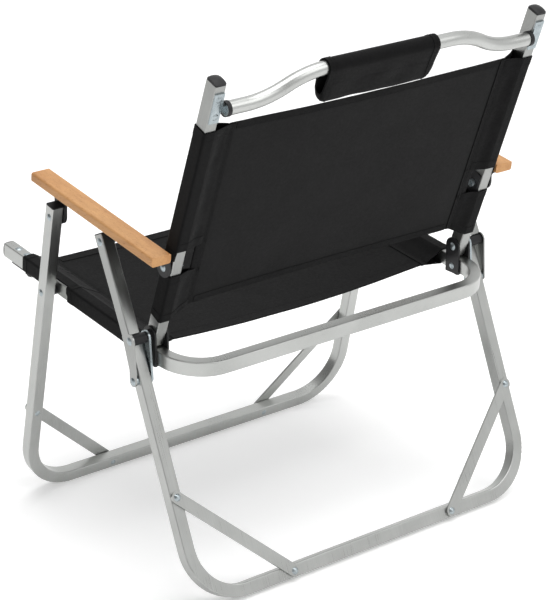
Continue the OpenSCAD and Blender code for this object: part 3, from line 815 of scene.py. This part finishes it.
class CHAIR_OT_back_cover(bpy.types.Operator):
    """Sew the back cover: a panel, two sleeves a side and the strips at the armrest windows"""

    bl_idname = "chair.back_cover"
    bl_label = "Back cover"

    # How far the sleeves' ends leave a straight cut, along the upright: at the seam, on the front
    # face, and on the outer face beside the armrest.
    RISE_AT_SEAM = 0.013
    FRONT_RISE = 0.002
    FRONT_EARLY = 0.007
    OUTER_LOW = 0.014
    UNDER_TOP = 0.0015
    # The strip past the bolt: its fold outside the seam, and its overlap below and above.
    FOLD_OUT = 0.0062
    STRIP_BELOW = 0.008
    STRIP_ABOVE = 0.003

    def execute(self, context):
        chair = context.scene.chair
        c = chair.cloth
        b = chair.back
        cloth = Cloth()
        seams = Cloth()
        lap = 2 * c.half + LAP_GAP
        section = around_rail(b.seam_in, b.seam_out, b.depth, lap, c.skin)
        for side in (1, -1):
            self.sleeves(cloth, seams, c, b, section, side)
        self.panel(cloth, seams, c, b)
        fabrics = [sewn("side_cloth", chair.colours), sewn("panel_cloth", chair.colours)]
        cover = cloth.build("back_cover", fabrics)
        stitches = seams.build("back_cover_stitches", [sewn("sewing_thread", chair.colours)])
        for thing in (cover, stitches):
            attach(thing, "back")
        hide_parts("back_fabric")
        return {"FINISHED"}

    def sleeves(self, cloth, seams, c, b, section, side):
        """The lower and upper sleeve of one side with their hems, and the strip between them."""
        # Shares for each column: 1 on the rear face, at the seam, and on the outer face.
        rear = [clamp((h + 0.006) / 0.014) for _, h in section]
        inner = [clamp((RAIL_IN - x) / 0.030) for x, _ in section]
        outer = [float(x > RAIL_OUT - 0.0003) for x, _ in section]
        low = [b.sleeve + self.RISE_AT_SEAM * i + self.FRONT_RISE * (1 - r) for i, r in zip(inner, rear)]
        mid = [b.window_low - self.FRONT_EARLY * (1 - r) for r in rear]
        high = [b.window_high - self.OUTER_LOW * o for o in outer]
        top = [b.top - self.UNDER_TOP] * len(section)
        lower = sleeve_grid(back_place, side, section, low, mid,
                            steps=26, slack=0.0010, seed=3.0 + side)
        upper = sleeve_grid(back_place, side, section, high, top,
                            steps=60, slack=0.0012, seed=7.0 + side)
        for grid in (lower, upper):
            cloth.slab(grid, -c.half, c.half)
            self.hems(cloth, seams, c, section, grid)
        strip = self.strip(b, c, side)
        cloth.slab(strip, -c.half, c.half)
        for grid in (lower, upper):
            lap_seams(seams, grid, c.half)
        for j in (1, 2):
            sew(seams, column(strip, j), c.half)

    def hems(self, cloth, seams, c, section, grid):
        """The hems at both ends of a sleeve, each with two rows of stitches."""
        lift = c.half + c.fold
        for from_end in (False, True):
            rows = [row[2:-2] for row in hem_rows(grid, c.hem, from_end)[0]]
            cloth.slab(rows, c.half * HEM_ROOT, lift, counted=False)
            lines = (rows[0], rows[-2]) if from_end else (rows[-1], rows[1])
            keep = [j for j in range(len(rows[0])) if self.clear(section[j + 2])]
            for line in lines:
                for part in self.runs(keep):
                    sew(seams, [line[j] for j in part], lift)

    @staticmethod
    def panel(cloth, seams, c, b):
        """The panel between the seams, a little hollow, with a hem along its two free edges."""
        xs = spread(-b.seam_out + SEAM_GAP, b.seam_out - SEAM_GAP, 84)
        vs = spread(b.bottom, b.top, 56)

        def height(x, v):
            return b.depth - b.hollow * max(1 - (x / b.seam_out) ** 2, 0.0) ** 1.5

        grid = plane_grid(back_place, xs, vs, height, seed=2.0, rough=0.0009)
        for v, row in zip(vs, grid):
            share = (v - b.bottom) / (b.top - b.bottom)
            for j, x in enumerate(xs):
                p, n = row[j]
                away = (p - back_place(x, 0, b.depth)).dot(n)
                dip = b.dip * share * max(1 - (x / b.seam_in) ** 2, 0.0)
                down = back_place(x, -dip, 0) - back_place(x, 0, 0)
                edge = clamp((b.seam_in - abs(x)) / FLAT_REACH)
                row[j] = (p - n * away * (1 - edge) + down, n)
        cloth.slab(grid, -c.half, c.half, mat=1)
        inside = [j for j, x in enumerate(xs) if abs(x) < b.seam_in - 0.001]
        for from_end in (True, False):
            rows, line = hem_rows(grid, c.hem, from_end)
            cloth.slab(columns(rows, inside), c.half * HEM_ROOT, c.half * PANEL_HEM, counted=False)
            sew(seams, [line[j] for j in inside], c.half * PANEL_HEM)

    @staticmethod
    def clear(point):
        """True away from the sleeve's outer face, where the armrest turns close by."""
        return point[0] < RAIL_OUT - 0.0005

    @staticmethod
    def runs(indices):
        """Splits a list of column numbers into unbroken runs."""
        parts = []
        for j in indices:
            if parts and parts[-1][-1] == j - 1:
                parts[-1].append(j)
            else:
                parts.append([j])
        return [p for p in parts if len(p) > 2]

    def strip(self, b, c, side):
        """The folded strip that carries the cover past the armrest bolt."""
        lap = 2 * c.half + LAP_GAP
        edge = b.seam_out + self.FOLD_OUT
        middle = (b.seam_in + b.seam_out) / 2
        section = [(x, b.depth + lap) for x in (b.seam_in, middle, b.seam_out)]
        for a in spread(math.pi / 2, -math.pi / 2, 8):
            section.append((edge + lap * math.cos(a), b.depth + lap * math.sin(a)))
        section += [(x, b.depth - lap) for x in (b.seam_out, b.seam_in)]
        starts = [b.window_low - self.STRIP_BELOW] * len(section)
        ends = [b.window_high + self.STRIP_ABOVE] * len(section)
        return sleeve_grid(back_place, side, section, starts, ends, steps=12, slack=0.0, seed=1.0)


class CHAIR_OT_seat_cover(bpy.types.Operator):
    """Sew the seat cover: a sling panel with two sleeves on each rail"""

    bl_idname = "chair.seat_cover"
    bl_label = "Seat cover"

    # The cloth that runs on past the leg pivot: its overlap at each end and its hem's first column.
    OVERLAP_REAR = 0.004
    OVERLAP_FRONT = 0.001
    HEM_COLUMN = -5

    def execute(self, context):
        chair = context.scene.chair
        c = chair.cloth
        s = chair.seat
        cloth = Cloth()
        seams = Cloth()
        section = around_rail(s.seam_in, s.seam_out, -s.drop, 2 * c.half + LAP_GAP, c.skin)
        for side in (1, -1):
            self.sleeves(cloth, seams, c, s, section, side)
            self.window(cloth, seams, c, s, section[: self.corner(section, True)], side, True)
            self.window(cloth, seams, c, s, section[self.corner(section, False) :], side, False)
        self.panel(cloth, seams, c, s)
        cover = cloth.build("seat_cover", [sewn("side_cloth", chair.colours)])
        stitches = seams.build("seat_cover_stitches", [sewn("sewing_thread", chair.colours)])
        for thing in (cover, stitches):
            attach(thing, "seat")
        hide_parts("seat_fabric")
        return {"FINISHED"}

    @staticmethod
    def sleeves(cloth, seams, c, s, section, side):
        """The sleeves behind and in front of the leg pivot, each with a hem at both ends."""
        lift = c.half + c.fold
        rear = [s.rear] * len(section)
        stop = [s.window_rear - (0.003 if h < 0 else 0.0) for _, h in section]
        go = [s.window_front] * len(section)
        front = [s.front] * len(section)
        for seed, starts, ends, steps in ((11.0, rear, stop, 48), (12.0, go, front, 22)):
            grid = sleeve_grid(seat_place, side, section, starts, ends,
                               steps=steps, slack=0.0012, seed=seed + side)
            cloth.slab(grid, -c.half, c.half)
            for from_end in (False, True):
                rows, line = hem_rows(grid, c.hem, from_end)
                cloth.slab([row[2:-2] for row in rows], c.half * HEM_ROOT, lift, counted=False)
                sew(seams, line[2:-2], lift)
            lap_seams(seams, grid, c.half)

    def window(self, cloth, seams, c, s, part, side, upper):
        """One layer of cloth past the leg pivot; the upper one is hemmed on the rail."""
        starts = [s.window_rear - self.OVERLAP_REAR] * len(part)
        ends = [s.window_front + self.OVERLAP_FRONT] * len(part)
        strip = sleeve_grid(seat_place, side, part, starts, ends,
                            steps=16, slack=0.0006, seed=15.0 + side)
        cloth.slab(strip, -c.half, c.half)
        for j in (1, 2) if upper else (-3, -2):
            sew(seams, column(strip, j), c.half)
        if upper:
            lift = c.half + c.fold * 1.5
            hem = [row[self.HEM_COLUMN - 1 :] for row in strip]
            cloth.slab(hem, c.half * HEM_ROOT, lift, counted=False)
            sew(seams, column(strip, self.HEM_COLUMN), lift)

    @staticmethod
    def panel(cloth, seams, c, s):
        """The sling between the seams, with a wider hem along its front and rear edges."""
        xs = spread(-s.seam_out + SEAM_GAP, s.seam_out - SEAM_GAP, 84)
        vs = spread(s.rear, s.front, 56)

        def height(x, v):
            hollow = max(1 - (x / s.seam_in) ** 2, 0.0)
            share = (v - s.rear) / (s.front - s.rear)
            return -s.drop - s.sag * hollow * (1 - s.firm * share)

        grid = plane_grid(seat_place, xs, vs, height, seed=4.0, rough=0.0011)
        for v, row in zip(vs, grid):
            for j, x in enumerate(xs):
                p, n = row[j]
                away = (p - seat_place(x, 0, height(x, v))).dot(n)
                edge = clamp((s.seam_in - abs(x)) / FLAT_REACH)
                row[j] = (p - n * away * (1 - edge), n)
        cloth.slab(grid, -c.half, c.half)
        inside = [j for j, x in enumerate(xs) if abs(x) < s.seam_in - 0.001]
        for from_end in (True, False):
            rows, line = hem_rows(grid, c.hem * 1.3, from_end)
            cloth.slab(columns(rows, inside), c.half * HEM_ROOT, c.half * PANEL_HEM, counted=False)
            sew(seams, [line[j] for j in inside], c.half * PANEL_HEM)

    @staticmethod
    def corner(section, upper):
        """Where the cloth stops in the window: on the rail's top edge, or at its inner lower edge."""
        if upper:
            return next(k for k, (x, _) in enumerate(section) if x > RAIL_OUT - RAIL_CORNER + 0.0004)
        low = [k for k, (x, h) in enumerate(section) if h < 0 and x > RAIL_IN + RAIL_CORNER]
        return low[-1] + 2


class CHAIR_OT_handle_wrap(bpy.types.Operator):
    """Fold the wrap over the carry handle, with stitched ends and rounded lower corners"""

    bl_idname = "chair.handle_wrap"
    bl_label = "Handle wrap"

    # The closing seam runs this many columns above the bottom fold.
    SEAM_COLUMNS = 15

    def execute(self, context):
        chair = context.scene.chair
        c = chair.cloth
        w = chair.wrap
        cloth = Cloth()
        seams = Cloth()
        grid = [self.row(w, x) for x in spread(-w.half_length, w.half_length, 72)]
        cloth.slab(grid, -w.half, w.half)
        lift = w.half + w.turn_in
        for from_end in (True, False):
            rows, line = hem_rows(grid, c.hem, from_end)
            cloth.slab(rows, w.half * HEM_ROOT, lift, counted=False)
            sew(seams, line, lift)
        for line in (grid[-3], grid[2]):
            sew(seams, line, lift)
        between = grid[len(rows) - 1 : 1 - len(rows)]
        middle = len(grid[0]) // 2
        for j in (middle - self.SEAM_COLUMNS, middle + self.SEAM_COLUMNS):
            sew(seams, column(between, j), w.half)
        wrap = cloth.build("handle_wrap_cloth", [sewn("side_cloth", chair.colours)])
        stitches = seams.build("handle_wrap_stitches", [sewn("sewing_thread", chair.colours)])
        for thing in (wrap, stitches):
            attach(thing, "back")
        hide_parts("handle_wrap")
        return {"FINISHED"}

    @staticmethod
    def row(w, x):
        """One loop of the wrap, from the top of the tube round below and back to the top."""
        edge = max(0.0, abs(x) - (w.half_length - w.corner))
        lift = w.corner - math.sqrt(max(w.corner**2 - edge**2, 0.0))
        hang = w.hang - lift * 0.9
        lean = math.acos((w.over - w.fold) / hang)
        first = lean - math.pi / 2
        section = []
        for a in spread(math.pi / 2, first, 12):
            section.append((w.over * math.cos(a), w.over * math.sin(a)))
        off, s = section[-1]
        end_off = w.fold * math.cos(first)
        end_s = w.fold * math.sin(first) - hang
        for f in spread(0, 1, 16)[1:-1]:
            section.append((off + (end_off - off) * f, s + (end_s - s) * f))
        for a in spread(first, -math.pi / 2, 6):
            section.append((w.fold * math.cos(a), w.fold * math.sin(a) - hang))
        points = section + [(-off, s) for off, s in section[-2::-1]]
        line = []
        for (off, s), (no, ns) in zip(points, section_normals(points)):
            base = back_place(w.middle + x, w.centre_s + s, w.centre_off + off)
            n = (back_place(x, ns, no) - back_place(x, 0, 0)).normalized()
            line.append((base + n * wrinkle(base, 21.0, 30.0, 0.0012) * clamp(-s / 0.02), n))
        return line


class CHAIR_OT_stage(bpy.types.Operator):
    """Set a pale floor, soft studio light and the camera"""

    bl_idname = "chair.stage"
    bl_label = "Stage"

    def execute(self, context):
        scene = context.scene
        self.floor(scene, scene.chair.stage)
        self.lamps(scene, scene.chair.stage)
        self.glow(scene, scene.chair.stage)
        self.camera(scene, scene.chair.stage)
        return {"FINISHED"}

    @staticmethod
    def aim(thing, place, target):
        """Puts a lamp or camera at its place and turns it to the target."""
        thing.location = place
        thing.rotation_euler = (Vector(target) - Vector(place)).to_track_quat("-Z", "Y").to_euler()

    @staticmethod
    def floor(scene, t):
        """A large pale square that glows a little, so it stays even."""
        h = t.floor / 2
        mesh = bpy.data.meshes.new("floor")
        mesh.from_pydata([(-h, -h, 0), (h, -h, 0), (h, h, 0), (-h, h, 0)], [], [(0, 1, 2, 3)])
        floor = bpy.data.objects.new("floor", mesh)
        scene.collection.objects.link(floor)
        pale = Finish("pale_floor")
        pale.put(Base_Color=grey(0.95), Roughness=0.95, Emission_Color=WHITE, Emission_Strength=0.22)
        mesh.materials.append(pale.material)

    def lamps(self, scene, t):
        """Round soft lamps, all turned to the chair."""
        for name, spot, size, power in LAMPS:
            data = bpy.data.lights.new(name, "AREA")
            data.shape = "DISK"
            data.size = size
            data.energy = power * t.light
            lamp = bpy.data.objects.new(name, data)
            scene.collection.objects.link(lamp)
            self.aim(lamp, spot, t.target)

    @staticmethod
    def glow(scene, t):
        """The light from all round, brighter on one side, and a neutral view."""
        world = scene.world or bpy.data.worlds.new("studio")
        scene.world = world
        world.use_nodes = True
        nodes = world.node_tree.nodes
        links = world.node_tree.links
        back = nodes["Background"]
        back.inputs["Strength"].default_value = t.light
        place = nodes.new("ShaderNodeTexCoord")
        parts = nodes.new("ShaderNodeSeparateXYZ")
        links.new(place.outputs["Generated"], parts.inputs["Vector"])
        slope = nodes.new("ShaderNodeMapRange")
        slope.inputs["From Min"].default_value = GLOW_FROM[0]
        slope.inputs["From Max"].default_value = GLOW_TO[0]
        slope.inputs["To Min"].default_value = GLOW_FROM[1]
        slope.inputs["To Max"].default_value = GLOW_TO[1]
        slope.interpolation_type = "SMOOTHSTEP"
        links.new(parts.outputs["X"], slope.inputs["Value"])
        links.new(slope.outputs["Result"], back.inputs["Color"])
        scene.view_settings.view_transform = "Standard"

    def camera(self, scene, t):
        """A long lens, from behind the chair and above it."""
        data = bpy.data.cameras.new("camera")
        data.sensor_fit = "HORIZONTAL"
        data.sensor_width = 36.0
        data.lens = t.lens
        data.clip_start = 0.05
        data.clip_end = 60.0
        camera = bpy.data.objects.new("camera", data)
        scene.collection.objects.link(camera)
        self.aim(camera, t.camera, t.target)
        scene.camera = camera


class CHAIR_PT_panel(bpy.types.Panel):
    """The chair's pieces and settings"""

    bl_idname = "CHAIR_PT_panel"
    bl_label = "Folding camp chair"
    bl_space_type = "VIEW_3D"
    bl_region_type = "UI"
    bl_category = "Chair"

    def draw(self, context):
        for operator in OPERATORS:
            self.layout.operator(operator.bl_idname)
        chair = context.scene.chair
        for group in (chair.colours, chair.cloth, chair.back, chair.seat, chair.wrap, chair.stage):
            box = self.layout.box()
            for key in group.bl_rna.properties.keys():
                if key not in ("rna_type", "name"):
                    box.prop(group, key)


GROUPS = (ChairColours, ChairCloth, ChairBack, ChairSeat, ChairWrap, ChairStage, ChairSettings)
OPERATORS = (
    CHAIR_OT_finishes,
    CHAIR_OT_back_cover,
    CHAIR_OT_seat_cover,
    CHAIR_OT_handle_wrap,
    CHAIR_OT_stage,
)


def register():
    for cls in GROUPS + OPERATORS + (CHAIR_PT_panel,):
        bpy.utils.register_class(cls)
    bpy.types.Scene.chair = PointerProperty(type=ChairSettings)


def unregister():
    del bpy.types.Scene.chair
    for cls in reversed(GROUPS + OPERATORS + (CHAIR_PT_panel,)):
        bpy.utils.unregister_class(cls)


def main():
    register()
    bpy.ops.chair.finishes()
    bpy.ops.chair.back_cover()
    bpy.ops.chair.seat_cover()
    bpy.ops.chair.handle_wrap()
    bpy.ops.chair.stage()


if __name__ == "__main__":
    main()
